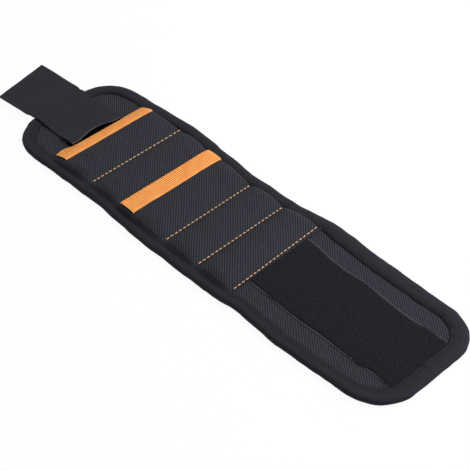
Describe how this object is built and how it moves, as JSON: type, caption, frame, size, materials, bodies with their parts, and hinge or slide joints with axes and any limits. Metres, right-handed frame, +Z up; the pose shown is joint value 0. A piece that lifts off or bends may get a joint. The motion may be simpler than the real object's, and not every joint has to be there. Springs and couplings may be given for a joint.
{
  "type": "magnetic wristband",
  "caption": "Padded black cloth wristband with puffed magnet pockets, orange webbing strips, a bound edge, a loop patch at one end and a hook strap at the other.",
  "frame": {"origin": "middle of the flat-laid band and strap, on the surface that it lies on", "axes": "+X along the band from the strap to the loop end, +Y across the band, +Z up, out of the front with the magnet pockets"},
  "size_m": [0.3654, 0.09, 0.0079],
  "materials": {
    "lining": "black spacer mesh",
    "cloth": "black ribbed woven nylon",
    "binding": "smooth black folded tape",
    "webbing": "orange ribbed webbing",
    "loop": "black loop pile",
    "strap": "smooth black tape",
    "hook": "black moulded hook tape",
    "magnet": "nickel plated plate"
  },
  "bodies": {
    "end_panel": {"lining_end": "lining", "cloth_end": "cloth", "binding_end": "binding", "strap_sewn_end": "strap"},
    "pocket_1": {"lining_pocket_1": "lining", "cover_pocket_1": "cloth", "binding_pocket_1_near": "binding", "binding_pocket_1_far": "binding", "magnet_1_1": "magnet", "magnet_1_2": "magnet", "magnet_1_3": "magnet", "webbing_strip_1": "webbing"},
    "pocket_2": {"lining_pocket_2": "lining", "cover_pocket_2": "cloth", "binding_pocket_2_near": "binding", "binding_pocket_2_far": "binding", "magnet_2_1": "magnet", "magnet_2_2": "magnet", "magnet_2_3": "magnet"},
    "pocket_3": {"lining_pocket_3": "lining", "cover_pocket_3": "cloth", "binding_pocket_3_near": "binding", "binding_pocket_3_far": "binding", "magnet_3_1": "magnet", "magnet_3_2": "magnet", "magnet_3_3": "magnet", "webbing_strip_2": "webbing"},
    "pocket_4": {"lining_pocket_4": "lining", "cover_pocket_4": "cloth", "binding_pocket_4_near": "binding", "binding_pocket_4_far": "binding", "magnet_4_1": "magnet", "magnet_4_2": "magnet", "magnet_4_3": "magnet"},
    "pocket_5": {"lining_pocket_5": "lining", "cover_pocket_5": "cloth", "binding_pocket_5_near": "binding", "binding_pocket_5_far": "binding", "magnet_5_1": "magnet", "magnet_5_2": "magnet", "magnet_5_3": "magnet"},
    "loop_panel_1": {"lining_loop_1": "lining", "cloth_loop_1": "cloth", "binding_loop_1_near": "binding", "binding_loop_1_far": "binding", "loop_patch_1": "loop"},
    "loop_panel_2": {"lining_loop_2": "lining", "cloth_loop_2": "cloth", "binding_loop_2_near": "binding", "binding_loop_2_far": "binding", "loop_patch_2": "loop"},
    "loop_panel_3": {"lining_loop_3": "lining", "cloth_loop_3": "cloth", "binding_loop_3": "binding", "loop_patch_3": "loop"},
    "strap": {"strap_middle": "strap"},
    "strap_free_end": {"strap_tip": "strap", "hook_tape": "hook"}
  },
  "joints": [
    {"name": "fold_end_panel", "type": "hinge", "parent": "pocket_1", "child": "end_panel", "pos_m": [-0.09927, 0, 0], "axis": [0, -1, 0], "range_deg": [-15, 40]},
    {"name": "fold_pocket_1", "type": "hinge", "parent": "pocket_2", "child": "pocket_1", "pos_m": [-0.06327, 0, 0], "axis": [0, -1, 0], "range_deg": [-15, 45]},
    {"name": "fold_pocket_2", "type": "hinge", "parent": "pocket_3", "child": "pocket_2", "pos_m": [-0.03527, 0, 0], "axis": [0, -1, 0], "range_deg": [-15, 45]},
    {"name": "fold_pocket_4", "type": "hinge", "parent": "pocket_3", "child": "pocket_4", "pos_m": [0.00573, 0, 0], "axis": [0, 1, 0], "range_deg": [-15, 45]},
    {"name": "fold_pocket_5", "type": "hinge", "parent": "pocket_4", "child": "pocket_5", "pos_m": [0.03373, 0, 0], "axis": [0, 1, 0], "range_deg": [-15, 45]},
    {"name": "fold_loop_panel", "type": "hinge", "parent": "pocket_5", "child": "loop_panel_1", "pos_m": [0.06173, 0, 0], "axis": [0, 1, 0], "range_deg": [-15, 45]},
    {"name": "bend_loop_1", "type": "hinge", "parent": "loop_panel_1", "child": "loop_panel_2", "pos_m": [0.10207, 0, 0], "axis": [0, 1, 0], "range_deg": [-15, 70]},
    {"name": "bend_loop_2", "type": "hinge", "parent": "loop_panel_2", "child": "loop_panel_3", "pos_m": [0.1424, 0, 0], "axis": [0, 1, 0], "range_deg": [-15, 70]},
    {"name": "strap_lift", "type": "hinge", "parent": "end_panel", "child": "strap", "pos_m": [-0.10847, 0, 0.0046], "axis": [0, 1, 0], "range_deg": [0, 150]},
    {"name": "strap_bend", "type": "hinge", "parent": "strap", "child": "strap_free_end", "pos_m": [-0.14277, 0, 0.0051], "axis": [0, 1, 0], "range_deg": [-60, 60]}
  ]
}
